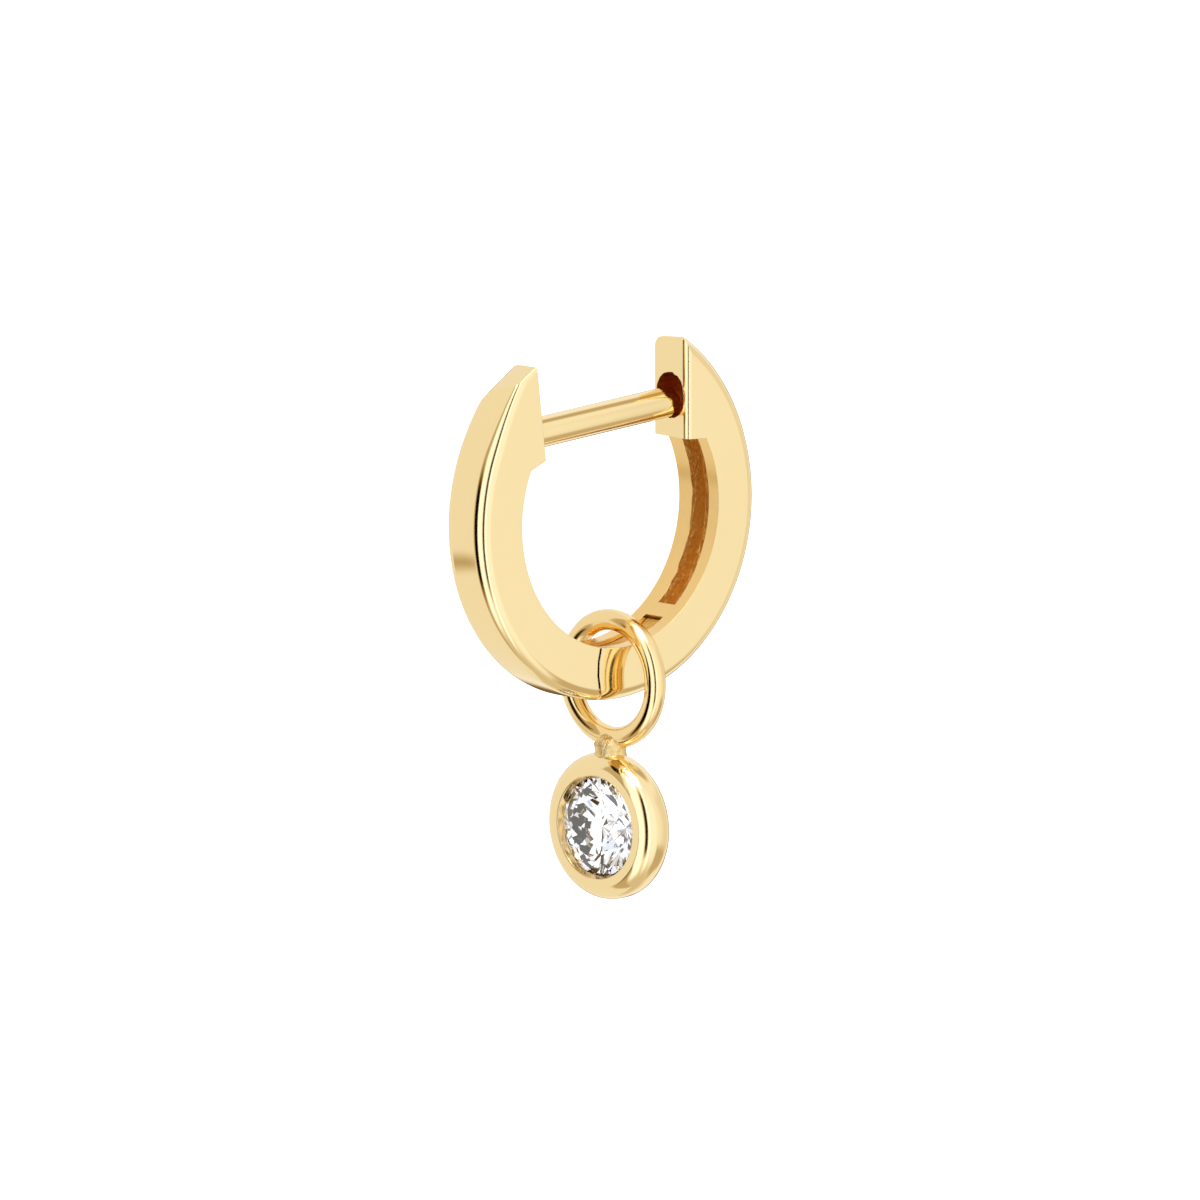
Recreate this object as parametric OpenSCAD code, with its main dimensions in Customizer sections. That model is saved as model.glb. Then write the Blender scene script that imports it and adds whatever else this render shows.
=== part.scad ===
// Huggie hoop earring with a bezel-set stone charm, in millimetres.
// The origin is the middle of the ear post. +Z is up as the earring hangs, +X runs from the front
// half to the back half, and +Y runs across the band. The charm's stone faces -X.

/* [Hoop] */
// Outer radius of the hoop
hoop_r = 5.5; // [5:0.1:7]
// Thickness of the band, from its outer to its inner face
band_t = 1.57; // [1.3:0.01:1.8]
// Width of the band
band_w = 1.69; // [1.5:0.01:2]
// Rounding of the band's two outer edges
rim_round = 0.4; // [0.1:0.05:0.6]
// How much more the outer face's upper part is rounded than the hoop, so that both tips rise a little
crown = 0.15; // [0.05:0.05:0.3]
// How far the worn hoop leans, back half up
hoop_lean = 4.5; // [0:0.5:8]

/* [Post and catch] */
// Radius of the ear post
post_r = 0.45; // [0.35:0.01:0.5]
// Height of the post above the hoop's centre
post_z = 2.76; // [2.6:0.01:3]
// Rounding of the post's tip
tip_round = 0.18; // [0.05:0.01:0.3]
// How far the post's tip stands in the catch hole
post_in = 0.25; // [0.1:0.01:0.5]
// Gap between the front half's end face and the hoop's centre, at the post and the band's near side
front_reach = 2.86; // [2.7:0.01:3.1]
// How far the front end face slopes outwards as it rises
front_slope = 2.5; // [0:0.5:6]
// How far the front end face is turned away from square
front_turn = 14; // [2:0.5:16]
// Gap between the back half's end face and the hoop's centre, at the post and the band's near side
back_reach = 2.87; // [2.7:0.01:3.1]
// How far the back end face slopes outwards as it rises
back_slope = 4; // [0:0.5:6]
// How far the back end face is turned away from square
back_turn = 7; // [2:0.5:9]
// Rounding of the back end face's far edge
face_round = 0.22; // [0.1:0.01:0.3]
// How far the front shoulder lies below the post's axis, at the end face
front_drop = 0.66; // [0.55:0.01:0.8]
// How far the back shoulder lies below the post's axis, at the end face
back_drop = 1.04; // [0.9:0.01:1.3]
// Slope of the front shoulder's underside
front_shoulder_slope = 18; // [5:1:25]
// Slope of the back shoulder's underside
back_shoulder_slope = 8; // [0:1:15]
// Radius of the catch hole
catch_r = 0.68; // [0.6:0.01:0.72]
// Depth of the catch hole from the end face
catch_depth = 1.15; // [0.8:0.05:1.2]
// Least gap between the post and the catch hole, under the post
catch_gap = 0.04; // [0.03:0.01:0.08]

/* [Channel] */
// Width of the channel in the back half's inner face
channel_w = 0.71; // [0.4:0.01:0.9]
// How far the channel's middle lies from the band's middle, towards the near side
channel_shift = 0.07; // [0:0.01:0.1]
// Depth of the channel
channel_depth = 0.6; // [0.3:0.05:0.8]
// Angle of the channel's upper end, from level at the hoop's centre
channel_top = 24; // [15:1:24]
// Angle of the channel's lower end, below level
channel_foot = 54; // [40:1:56]

/* [Hinge] */
// Distance of the hinge pin from the hoop's middle line, towards the back half
hinge_x = 0.88; // [0.7:0.01:1]
// Radius of the hinge pin
pin_r = 0.3; // [0.2:0.01:0.35]
// Running clearance round the pin
pin_gap = 0.02; // [0.01:0.005:0.04]
// How far the pin's ends lie below the band's side faces
pin_sink = 0.02; // [0:0.01:0.1]
// Radius of the seam between the halves, about the pin
seam_r = 2.15; // [2.1:0.01:2.3]
// Width of the seam
seam_gap = 0.08; // [0.04:0.01:0.12]
// Width of the slot in the back half's fork
slot_w = 0.75; // [0.6:0.01:0.9]
// Radius of the slot's end, about the pin
slot_r = 1.52; // [1.4:0.01:1.6]
// Gap between the tongue and the slot's walls, on each side
tongue_gap = 0.03; // [0.02:0.005:0.06]
// Gap between the tongue's round end and the slot's end
tongue_end_gap = 0.06; // [0.04:0.01:0.1]
// How far the tongue lies below the band's inner face
tongue_sink = 0.14; // [0.1:0.01:0.2]
// How far the tongue lies inside the band's outer face
tongue_shy = 0.06; // [0.05:0.01:0.15]

/* [Charm] */
// Radius of the jump ring's wire
wire_r = 0.31; // [0.25:0.01:0.35]
// Radius of the jump ring, to the middle of its wire
ring_r = 1.74; // [1.65:0.01:1.9]
// Gap between the jump ring and the band's inner edges, where it hangs
ring_gap = 0.06; // [0.03:0.01:0.1]
// How far the jump ring hangs from under the hoop's centre, towards the back half
charm_x = 0.45; // [0.3:0.01:0.6]
// How far the charm is turned about the plumb line
charm_turn = 2.5; // [0:0.5:5]
// Gap between the jump ring and the bezel, which the solder neck bridges
neck_gap = 0.12; // [0.1:0.01:0.3]
// Radius of the solder neck's waist
neck_r = 0.42; // [0.35:0.01:0.48]
// How far the solder swells out from the waist
neck_bulge = 0.1; // [0.05:0.01:0.15]
// How far the bezel's middle plane stands in front of the jump ring
bezel_forward = 0.15; // [0:0.01:0.2]
// Radius of the bezel's rounded rim
rim_r = 0.58; // [0.5:0.01:0.6]
// Straight part between the rim's two round shoulders
rim_flat = 0.12; // [0.05:0.01:0.2]
// Width of the bezel's wall outside the stone
bezel_wall = 0.673; // [0.6:0.001:0.8]
// Width of the bezel's lip over the stone's edge
lip = 0.055; // [0.03:0.005:0.08]
// How far the lip's bevel opens outwards
lip_bevel = 0.155; // [0.1:0.005:0.2]
// Depth of the closed cup behind the bezel's middle plane
cup_depth = 1.2; // [1.18:0.01:1.3]
// Radius of the cup's flat back
cup_back_r = 0.6; // [0.4:0.05:0.7]

/* [Stone] */
// Diameter of the stone
stone_d = 3; // [2.95:0.01:3.02]
// Share of the diameter that the table takes
table_share = 0.57; // [0.53:0.01:0.62]
// Slope of the crown's main facets
crown_slope = 34.5; // [32:0.5:36]
// Slope of the pavilion's main facets
pavilion_slope = 40.8; // [40:0.1:41]
// Thickness of the girdle
girdle_t = 0.07; // [0.04:0.01:0.08]
// How far the star facets reach from the table towards the girdle
star_share = 0.5; // [0.4:0.05:0.6]
// How far the lower girdle facets reach from the girdle towards the culet
lower_share = 0.78; // [0.7:0.01:0.85]
// How far the girdle's upper edge stands in front of the bezel's middle plane
stone_forward = 0.375; // [0.35:0.005:0.4]
// Gap between the stone and its seat
seat_gap = 0.02; // [0.015:0.005:0.03]

/* [Hidden] */
$fn = 96;
gold = [0.93, 0.78, 0.45];
// Overlap that carries a cutting shape clear of the faces that it cuts
past = 1;
inner_r = hoop_r - band_t;
mid_r = hoop_r - band_t / 2;
half_w = band_w / 2;
reach = hoop_r + past;
// The hinge pin stands in the middle of the band's thickness
hinge_z = -sqrt(mid_r * mid_r - hinge_x * hinge_x);
bore_r = pin_r + pin_gap;
tongue_r = slot_r - tongue_end_gap;
tongue_w = slot_w - 2 * tongue_gap;
catch_z = post_z + catch_r - post_r - catch_gap;
post_end = back_reach + post_in;
// How far inside its end face, at the post, each half is first drawn, and then cut off
front_spare = band_w * tan(front_turn) + reach * tan(front_slope) / 2;
back_spare = 0.3;
// The post starts inside the front half, a third of the band's thickness behind its end face
post_start = -front_reach - band_t / 3;
// The jump ring hangs plumb, its hole over the two inner edges of the band
ring_hole_r = ring_r - wire_r;
hoop_centre_x = post_z * sin(hoop_lean);
hoop_centre_z = -post_z * cos(hoop_lean);
rest_z = -sqrt(inner_r * inner_r - charm_x * charm_x);
ring_z = rest_z - sqrt(ring_hole_r * ring_hole_r - half_w * half_w) + ring_gap;
ring_centre = [hoop_centre_x + charm_x, 0, hoop_centre_z + ring_z];
stone_r = stone_d / 2;
bezel_r = stone_r + bezel_wall;
rim_mid_r = bezel_r - rim_r;
rim_top = rim_r + rim_flat / 2;
bezel_drop = ring_r + wire_r + neck_gap + bezel_r;
neck_z = -(ring_r + wire_r + neck_gap / 2);
neck_h = 0.8;
neck_curve = 0.5;
// Heights of the stone's rings of corners, from the girdle's upper edge
table_r = stone_r * table_share;
table_mid_r = table_r * cos(22.5);
star_r = table_mid_r + star_share * (stone_r - table_mid_r);
table_z = (stone_r - table_r) * tan(crown_slope);
star_z = (stone_r - star_r * cos(22.5)) * tan(crown_slope);
lower_r = stone_r * (1 - lower_share);
lower_z = -girdle_t - (stone_r - lower_r * cos(22.5)) * tan(pavilion_slope);
culet_z = -girdle_t - stone_r * tan(pavilion_slope);

// Puts the hoop, drawn about its own centre with a level post, at its worn lean
module worn() {
  rotate([0, -hoop_lean, 0])
    translate([0, 0, -post_z])
      children();
}

// Stands a side view, drawn as X and Z, across a width
module across(width) {
  rotate([90, 0, 0])
    linear_extrude(height = width, center = true)
      children();
}

// Round disc with the band's rounded outer edges, lying across Y
module rim_disc(r) {
  rotate([90, 0, 0])
    rotate_extrude() {
      translate([0, -half_w])
        square([r - rim_round, band_w]);
      translate([0, rim_round - half_w])
        square([r, band_w - 2 * rim_round]);
      for (side = [-1, 1])
        translate([r - rim_round, side * (half_w - rim_round)])
          circle(r = rim_round);
    }
}

// All inside the outer face of one half: the hoop's disc below, a slightly larger one above.
// Side 1 is the back half, side -1 the front half.
module inside_outer_face(side) {
  intersection() {
    rim_disc(hoop_r);
    translate([-2 * reach, -band_w, -2 * reach])
      cube([4 * reach, 2 * band_w, 2 * reach]);
  }
  intersection() {
    translate([-side * crown, 0, 0])
      rim_disc(hoop_r + crown);
    translate([-2 * reach, -band_w, 0])
      cube([4 * reach, 2 * band_w, 2 * reach]);
  }
}

// Side view of a shoulder, drawn on the +X side: it starts spare, this far inside the end face at the post
module shoulder_view(face, spare, drop, slope) {
  foot_z = post_z - drop + spare * tan(slope);
  deep = mid_r - face + spare;
  polygon([
    [face - spare, foot_z],
    [face - spare, reach],
    [mid_r, reach],
    [mid_r, foot_z - deep * tan(slope)]
  ]);
}

// Side view of the band with a shoulder, drawn on the +X side
module band_view(face, spare, drop, slope) {
  difference() {
    circle(r = reach);
    difference() {
      circle(r = inner_r);
      shoulder_view(face, spare, drop, slope);
    }
  }
}

// Side view of the room for one half's upper part, drawn on the +X side
module upper_view(face, spare) {
  translate([face - spare, -past])
    square([reach - face + spare, reach + past]);
}

// Side view of the front half's band, up to the round seam
module front_view() {
  difference() {
    intersection() {
      mirror([1, 0])
        band_view(front_reach, front_spare, front_drop, front_shoulder_slope);
      union() {
        mirror([1, 0])
          upper_view(front_reach, front_spare);
        translate([-reach, -reach])
          square([reach + hinge_x, reach]);
      }
    }
    translate([hinge_x, hinge_z])
      circle(r = seam_r + seam_gap / 2);
  }
}

// Side view of the back half's band, with the fork's round end
module back_view() {
  intersection() {
    band_view(back_reach, back_spare, back_drop, back_shoulder_slope);
    union() {
      upper_view(back_reach, back_spare);
      translate([hinge_x, -reach])
        square([reach - hinge_x, reach]);
      translate([hinge_x, hinge_z])
        circle(r = seam_r - seam_gap / 2);
    }
  }
}

// Side view of the tongue, from inside the front half to its round end about the pin
module tongue_view() {
  intersection() {
    difference() {
      circle(r = hoop_r - tongue_shy);
      circle(r = inner_r + tongue_sink);
    }
    union() {
      translate([hinge_x, hinge_z])
        circle(r = tongue_r);
      difference() {
        translate([hinge_x - seam_r - band_t / 4, -reach])
          square([seam_r + band_t / 4, reach]);
        // The tongue's foot ends square inside the front half
        translate([-reach, 0])
          square([2 * reach, reach]);
      }
    }
  }
}

// Side view of the slot in the fork
module slot_view() {
  translate([hinge_x, hinge_z])
    circle(r = slot_r);
  translate([-reach, -reach])
    square([reach + hinge_x, reach]);
}

// Bore for the hinge pin, through the whole band
module pin_bore() {
  translate([hinge_x, 0, hinge_z])
    rotate([90, 0, 0])
      cylinder(r = bore_r, h = band_w + past, center = true);
}

// Ear post with its rounded tip, along +X
module post() {
  translate([post_start, 0, post_z])
    rotate([0, 90, 0])
      rotate_extrude() {
        length = post_end - post_start;
        square([post_r, length - tip_round]);
        square([post_r - tip_round, length]);
        translate([post_r - tip_round, length - tip_round])
          intersection() {
            circle(r = tip_round);
            square(tip_round);
          }
      }
}

// All that the turned end face takes off the front half, from its near edge on
module front_face_cut() {
  height = front_drop + past;
  translate([-front_reach, -half_w, post_z])
    rotate([0, -front_slope, 0])
      rotate([0, 0, -front_turn])
        translate([0, -past, -height])
          cube([2 * past, band_w + 2 * past, height + reach]);
}

// All that the turned end face takes off the back half, from its near edge to its rounded far edge
module back_face_cut() {
  tilt = tan(back_turn);
  centre = [face_round / cos(back_turn) + (band_w - face_round) * tilt, band_w - face_round];
  on_face = centre - (face_round + past) * [cos(back_turn), -sin(back_turn)];
  height = back_drop + past;
  translate([back_reach, -half_w, post_z])
    rotate([0, back_slope, 0])
      translate([0, 0, -height])
        linear_extrude(height = height + reach)
          difference() {
            polygon([
              [0, 0],
              [-past, -past],
              on_face + [0, past],
              [centre[0], band_w + past],
              centre,
              centre - face_round * [cos(back_turn), -sin(back_turn)]
            ]);
            translate(centre)
              circle(r = face_round);
          }
}

// Channel in the back half's inner face
module channel() {
  rotate([90, 0, 0])
    rotate_extrude(angle = channel_foot + channel_top, start = -channel_foot)
      translate([inner_r - past / 2, channel_shift - channel_w / 2])
        square([past / 2 + channel_depth, channel_w]);
}

module front_half() {
  color(gold)
    worn()
      difference() {
        union() {
          difference() {
            intersection() {
              inside_outer_face(-1);
              across(band_w + past)
                front_view();
            }
            front_face_cut();
          }
          across(tongue_w)
            tongue_view();
          post();
        }
        pin_bore();
      }
}

module back_half() {
  color(gold)
    worn()
      difference() {
        intersection() {
          inside_outer_face(1);
          across(band_w + past)
            back_view();
        }
        across(slot_w)
          slot_view();
        pin_bore();
        back_face_cut();
        channel();
        translate([0, 0, catch_z])
          rotate([0, 90, 0])
            cylinder(r = catch_r, h = back_reach + catch_depth);
      }
}

module hinge_pin() {
  color(gold)
    worn()
      translate([hinge_x, 0, hinge_z])
        rotate([90, 0, 0])
          cylinder(r = pin_r, h = band_w - 2 * pin_sink, center = true);
}

// Puts the charm, drawn about its jump ring's centre with the stone facing -X, where it hangs
module hung() {
  translate(ring_centre)
    rotate([0, 0, charm_turn])
      children();
}

// Turns what is drawn about Z so that it faces the front, on the bezel's own axis
module in_bezel() {
  translate([-bezel_forward, 0, -bezel_drop])
    rotate([0, -90, 0])
      children();
}

// Section of the bezel: the round rim and the closed cup behind it
module bezel_section() {
  for (side = [-1, 1])
    translate([rim_mid_r, side * rim_flat / 2])
      circle(r = rim_r);
  translate([rim_mid_r - rim_r, -rim_flat / 2])
    square([2 * rim_r, rim_flat]);
  cup_top_r = rim_mid_r - rim_r * 0.6;
  polygon([
    [0, -cup_depth],
    [cup_back_r, -cup_depth],
    [cup_top_r, -rim_r * 0.8],
    [cup_top_r, 0],
    [0, 0]
  ]);
}

// Section of the room for the stone, its seat and the bevelled lip
module seat_section() {
  seat_r = stone_r + seat_gap;
  mouth_r = stone_r - lip;
  girdle_top = stone_forward;
  girdle_foot = girdle_top - girdle_t;
  mouth_z = girdle_top + lip * tan(crown_slope) + 1.5 * seat_gap;
  bevel_h = rim_top - mouth_z;
  polygon([
    [0, girdle_foot - stone_r * tan(pavilion_slope) - 3 * seat_gap],
    [seat_r, girdle_foot - seat_gap],
    [seat_r, girdle_top + seat_gap],
    [mouth_r, mouth_z],
    [mouth_r + 2 * lip_bevel, mouth_z + 2 * bevel_h],
    [0, mouth_z + 2 * bevel_h]
  ]);
}

// Spool of solder between the jump ring and the bezel
module solder_neck() {
  intersection() {
    rotate_extrude()
      difference() {
        translate([0, -neck_h / 2])
          square([neck_r + neck_curve, neck_h]);
        translate([neck_r + neck_curve, 0])
          circle(r = neck_curve);
      }
    sphere(r = neck_r + neck_bulge);
  }
}

module charm_setting() {
  color(gold)
    hung() {
      difference() {
        union() {
          rotate([0, 90, 0])
            rotate_extrude()
              translate([ring_r, 0])
                circle(r = wire_r);
          translate([-bezel_forward / 2, 0, neck_z])
            solder_neck();
          in_bezel()
            rotate_extrude()
              bezel_section();
        }
        in_bezel()
          rotate_extrude()
            seat_section();
      }
    }
}

// Corners of one ring of the stone: how many, how far out, how high, and the first one's angle
function corners(count, r, z, first) =
  [for (i = [0:count - 1]) [r * cos(first + i * 360 / count), r * sin(first + i * 360 / count), z]];

// Round brilliant about Z, with the table up: 8 stars, 8 kites, 16 upper and 16 lower girdle
// facets, and 8 mains
module brilliant() {
  points = concat(
    corners(8, table_r, table_z, 0),
    corners(8, star_r, star_z, 22.5),
    corners(16, stone_r, 0, 0),
    corners(16, stone_r, -girdle_t, 0),
    corners(8, lower_r, lower_z, 22.5),
    [[0, 0, culet_z]]
  );
  star = 8;
  upper = 16;
  under = 32;
  lower = 48;
  culet = 56;
  faces = concat(
    [[for (i = [0:7]) 7 - i]],
    [for (i = [0:7]) [i, (i + 1) % 8, star + i]],
    [for (i = [0:7]) [i, star + i, upper + 2 * i, star + (i + 7) % 8]],
    [for (i = [0:7]) [star + i, upper + 2 * i + 1, upper + 2 * i]],
    [for (i = [0:7]) [star + i, upper + (2 * i + 2) % 16, upper + 2 * i + 1]],
    [for (i = [0:15]) [upper + i, upper + (i + 1) % 16, under + (i + 1) % 16, under + i]],
    [for (i = [0:7]) [lower + i, under + 2 * i, under + 2 * i + 1]],
    [for (i = [0:7]) [lower + i, under + 2 * i + 1, under + (2 * i + 2) % 16]],
    [for (i = [0:7]) [culet, lower + (i + 7) % 8, under + 2 * i, lower + i]]
  );
  polyhedron(points = points, faces = faces);
}

module diamond() {
  color([0.95, 0.97, 1])
    hung()
      in_bezel()
        translate([0, 0, stone_forward])
          brilliant();
}

front_half();
back_half();
hinge_pin();
charm_setting();
diamond();
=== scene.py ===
import math

import bmesh
import bpy
from mathutils import Matrix, Vector, noise
from mathutils.geometry import intersect_line_sphere_2d


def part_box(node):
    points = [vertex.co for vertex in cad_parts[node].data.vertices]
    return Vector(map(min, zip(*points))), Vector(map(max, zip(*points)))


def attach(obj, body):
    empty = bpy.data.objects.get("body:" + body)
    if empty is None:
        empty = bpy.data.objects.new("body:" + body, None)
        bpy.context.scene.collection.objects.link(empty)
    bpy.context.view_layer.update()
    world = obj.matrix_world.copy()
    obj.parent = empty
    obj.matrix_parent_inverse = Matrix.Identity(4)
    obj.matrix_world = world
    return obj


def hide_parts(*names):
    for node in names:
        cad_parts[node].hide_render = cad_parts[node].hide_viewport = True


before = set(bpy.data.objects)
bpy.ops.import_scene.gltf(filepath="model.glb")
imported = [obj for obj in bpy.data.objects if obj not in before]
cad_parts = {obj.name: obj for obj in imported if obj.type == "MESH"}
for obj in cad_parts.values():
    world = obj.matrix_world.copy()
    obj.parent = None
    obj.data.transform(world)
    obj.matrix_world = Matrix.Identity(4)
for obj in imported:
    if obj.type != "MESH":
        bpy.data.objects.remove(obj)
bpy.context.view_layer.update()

# Every size below is in millimetres, and a finished mesh is brought to metres by MM
MM = 0.001
# Lengths that differ by less than this are taken as equal, corners closer than this are merged, and a cut
# leaves a corner where it is that lies this close to its plane
ALIKE = 1e-3
MERGED = 1e-4
ON_PLANE = 1e-5
# Cosine of the angle within which two faces look the same way
SAME_WAY = 0.9999

# Hoop, drawn upright about its own centre: X from front to back, Z up, Y across the band
HOOP_R = 5.5
INNER_R = 3.93
MID_R = (HOOP_R + INNER_R) / 2
# Above the hoop's middle, each half's outer face rises on a larger circle, whose centre lies this far past
# the hoop's
FRONT_CROWN = 0.15
BACK_CROWN = 0.42
BAND_W = (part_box("front_half")[1][1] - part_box("front_half")[0][1]) / MM
HALF_W = BAND_W / 2
RIM_ROUND = 0.4
RIM_SEGMENTS = 10
RIM_PROFILE = 0.5
HOOP_LEAN = 4.5
# Turn of one step along an arc of the outline, in degrees
ARC_STEP = 1.5
# Places of the unpolished, satin and drilled golds among a half's materials, whose colours, darker than the
# polished gold's, are painted shade
UNPOLISHED_SHADED = 1
SATIN_SHADED = 2
DRILLED_SHADED = 3
# Places of the solder, the stone's seat with its painted glints, the bezel's lip with its painted shade and
# the jump ring among the charm's materials
SOLDER = 1
SEAT = 2
LIP = 3
RING = 4
# Edges sharper than this, in degrees, are creases
CREASE_FROM = 22
# How much more a large face's direction counts than a small one's where they meet smoothly
FLAT_WEIGHT = 60

# Post, catch and end faces
POST_R = 0.45
POST_Z = 2.76
POST_TIP_ROUND = 0.18
POST_TIP_STEP = 15
POST_SEGMENTS = 64
POST_FROM = -3.4
POST_TO = 3.12
# Distance of each end face's near edge from the hoop's centre, the face's slope in the side view and its
# turn across the band
FRONT_REACH = 2.86
FRONT_SLOPE = 2.5
FRONT_TURN = 14
BACK_REACH = 2.87
BACK_SLOPE = 4
BACK_TURN = 7
# Rounding of the back end face's far and near edges
FAR_EDGE_ROUND = 0.22
NEAR_EDGE_ROUND = 0.2
# How far below the post's axis each shoulder starts, and its slope
FRONT_DROP = 0.66
BACK_DROP = 1.04
FRONT_SHOULDER_SLOPE = 18
BACK_SHOULDER_SLOPE = 8
# Rounding of the tips, and of their far and near corners across the band
FRONT_TIP_ROUND = 0.3
BACK_TIP_ROUND = 0.1
FRONT_FAR_CORNER_ROUND = 0.85
FRONT_NEAR_CORNER_ROUND = 0.45
BACK_FAR_CORNER_ROUND = 0.62
BACK_NEAR_CORNER_ROUND = 0.4
# How many flat cuts make a rounding: of a short edge, the near edge, a tip's corners and the front tip
EDGE_CUTS = 5
NEAR_EDGE_CUTS = 7
CORNER_CUTS = 9
FRONT_TIP_CUTS = 11
# Between these heights, the front half's near rim is less and less rounded and rises outwards, at last by this
TAPER_FROM = 2.6
TAPER_TO = 4.7
TAPERED_ROUND = 0.15
TIP_LIFT = 0.4
# Catch hole: its size and its middle on the end face
CATCH_R = 0.68
CATCH_DEPTH = 1.1
CATCH_Y = -0.03
CATCH_Z = POST_Z + 0.19
# Raggedness of the hole's edge, and how fast it changes along a millimetre
CATCH_RAGGED = 0.03
CATCH_RAGGED_RATE = 9
CATCH_SEGMENTS = 64

# Channel in the back half, from this angle up to the shoulder, and a little past it so that no face is missed
CHANNEL_FOOT = -54
PAST_SHOULDER = 1
CHANNEL_NEAR = -0.425
CHANNEL_FAR = 0.285
CHANNEL_DEPTH = 0.55
# Waviness of the channel's far edge, and how fast it changes along a millimetre
CHANNEL_BURR = 0.06
CHANNEL_BURR_RATE = 2.3

# Hinge
HINGE_X = 0.88
HINGE_Z = -math.sqrt(MID_R ** 2 - HINGE_X ** 2)
PIN_R = 0.3
PIN_SINK = 0.02
PIN_SEGMENTS = 48
# Radii about the pin of the seam, of the fork's slot and of the tongue, with their widths
SEAM_R = 2.15
SEAM_GAP = 0.08
SLOT_R = 1.52
SLOT_W = 0.75
SLOT_STEP = 3
TONGUE_R = 1.46
TONGUE_W = 0.69
# How far the tongue lies under the band's inner and outer faces
TONGUE_SINK = 0.14
TONGUE_SHY = 0.06
TONGUE_STEP = 4
# How far past the seam the tongue's root reaches into the front half
TONGUE_ROOT = 0.35

# Charm, drawn about its jump ring's centre with the stone facing -X
RING_R = 1.74
WIRE_R = 0.31
RING_GAP = 0.06
RING_STEPS = 128
WIRE_SEGMENTS = 32
CHARM_X = 0.45
CHARM_TURN = 2.5
# Height of the gap that the solder neck bridges, from the ring's wire to the bezel
NECK_GAP = 0.12
NECK_Z = -(RING_R + WIRE_R + NECK_GAP / 2)
NECK_R = 0.45
NECK_BULGE = 0.1
# Turn of the neck's round foot and head, and the place of the waist's ends between them
NECK_FOOT_TURN = 60
NECK_HEAD_TURN = 30
NECK_WAIST_Z = 0.2
NECK_WAIST_FLARE = 0.04
# Share by which the solder's lumps stand out, and how many there are along a millimetre
NECK_LUMPS = 0.08
LUMP_RATE = 8
NECK_STEPS = 64
NECK_SMOOTHING = 0.5
BEZEL_R = 2.173
BEZEL_DROP = RING_R + WIRE_R + NECK_GAP + BEZEL_R
BEZEL_FORWARD = 0.15
# Rim: radius of its round section, the section's middle, and the straight piece between its two round halves
RIM_R = 0.58
RIM_MID_R = BEZEL_R - RIM_R
RIM_FLAT = 0.12
STONE_R = 1.5
# Where the lip ends on the stone's crown
MOUTH_R = 1.445
MOUTH_Z = 0.443
CUP_DEPTH = 1.2
CUP_BACK_R = 0.6
BEZEL_STEPS = 144
# Turn of one step along the rim's round section and along the lip's round edge
SECTION_STEP = 6
LIP_STEP = 8
# Within the stone's radius, faces with their middle above this height are the seat's, the others the cup's
SEAT_ABOVE = -0.4
# Angles on the rim's round section where the cup's cone meets it, and where its back turns outwards
CUP_JOIN = -128
BACK_TURNS_OUT = -60
# Height of the narrow flat that burnishing leaves on the rim's front, and radius of its inner edge
BURNISHED_Z = 0.6
LIP_R = 1.56
LIP_ROUND = 0.05
# Faces further in than the lip's edge by this share of its rounding have the lip's gold, darkened as painted
# shade
LIP_FROM = 0.7
# Direction of the lip's bevel, on the rim's round section
LIP_TURN = 155
# Angles on the rim's round section between which it was filed straight
FLANK_FROM = 39
FLANK_TO = 48
SEAT_GAP = 0.02
# Free room under the stone's point
SEAT_ROOM = 0.06
# Stone: how far its girdle lies in front of the bezel's middle, its table's share of its width, the slopes of
# its crown and pavilion, its girdle's thickness and how far its star and lower facets reach, as shares
STONE_FORWARD = 0.375
TABLE_SHARE = 0.57
CROWN_SLOPE = 34.5
PAVILION_SLOPE = 40.8
GIRDLE_T = 0.07
STAR_SHARE = 0.5
LOWER_SHARE = 0.78
# The table has eight sides. Facets closer to one plane than this, in degrees, are one
TABLE_SIDES = 8
ONE_FACET = 0.2
STONE_IOR = 2.42

# Studio: brightness of the tent where no card lies
TENT = 0.97
# Distance of the lamps and half the width of the floor, in metres
LIGHT_DISTANCE = 0.6
FLOOR_REACH = 1.5
FLOOR_Z = -35
FLOOR_COLOUR = (0.9, 0.9, 0.9, 1)
FLOOR_ROUGHNESS = 0.9
FLOOR_GLOW = 0.4
CAMERA_AZIMUTH = 43.1
CAMERA_ELEVATION = 9
LENS = 400
SENSOR = 36
# Nearest and furthest that the camera sees, in metres
SEEN_FROM = 0.001
SEEN_TO = 100
# Width of the view at the hoop's centre, and how far the view's middle lies from there
VIEW_W = 35.05
AIM_RIGHT = -0.04
AIM_UP = -2.59

ORIGIN = Vector((0, 0, 0))
PIN = Vector((HINGE_X, 0, HINGE_Z))
WORN = Matrix.Rotation(math.radians(-HOOP_LEAN), 4, "Y") @ Matrix.Translation((0, 0, -POST_Z))
# The jump ring hangs plumb, its hole over the two inner edges of the band
RING_Z = RING_GAP - math.sqrt(INNER_R ** 2 - CHARM_X ** 2) - math.sqrt((RING_R - WIRE_R) ** 2 - HALF_W ** 2)
RING_CENTRE = WORN @ ORIGIN + Vector((CHARM_X, 0, RING_Z))
HUNG = Matrix.Translation(RING_CENTRE) @ Matrix.Rotation(math.radians(CHARM_TURN), 4, "Z")
IN_BEZEL = Matrix.Translation((-BEZEL_FORWARD, 0, -BEZEL_DROP)) @ Matrix.Rotation(math.radians(-90), 4, "Y")


def tan(degrees):
    """Tangent of an angle in degrees."""
    return math.tan(math.radians(degrees))


def at_angle(radius, degrees):
    """Point of the side view at a radius and an angle about the hoop's centre."""
    return Vector((radius * math.cos(math.radians(degrees)), 0, radius * math.sin(math.radians(degrees))))


def angle_of(point):
    """Angle of a point of the side view, in degrees."""
    return math.degrees(math.atan2(point[2], point[0]))


# Drawing of outlines in the side view, an edge or an arc at a time


def start(bm, point):
    return bmesh.ops.create_vert(bm, co=point)["vert"][0]


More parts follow.
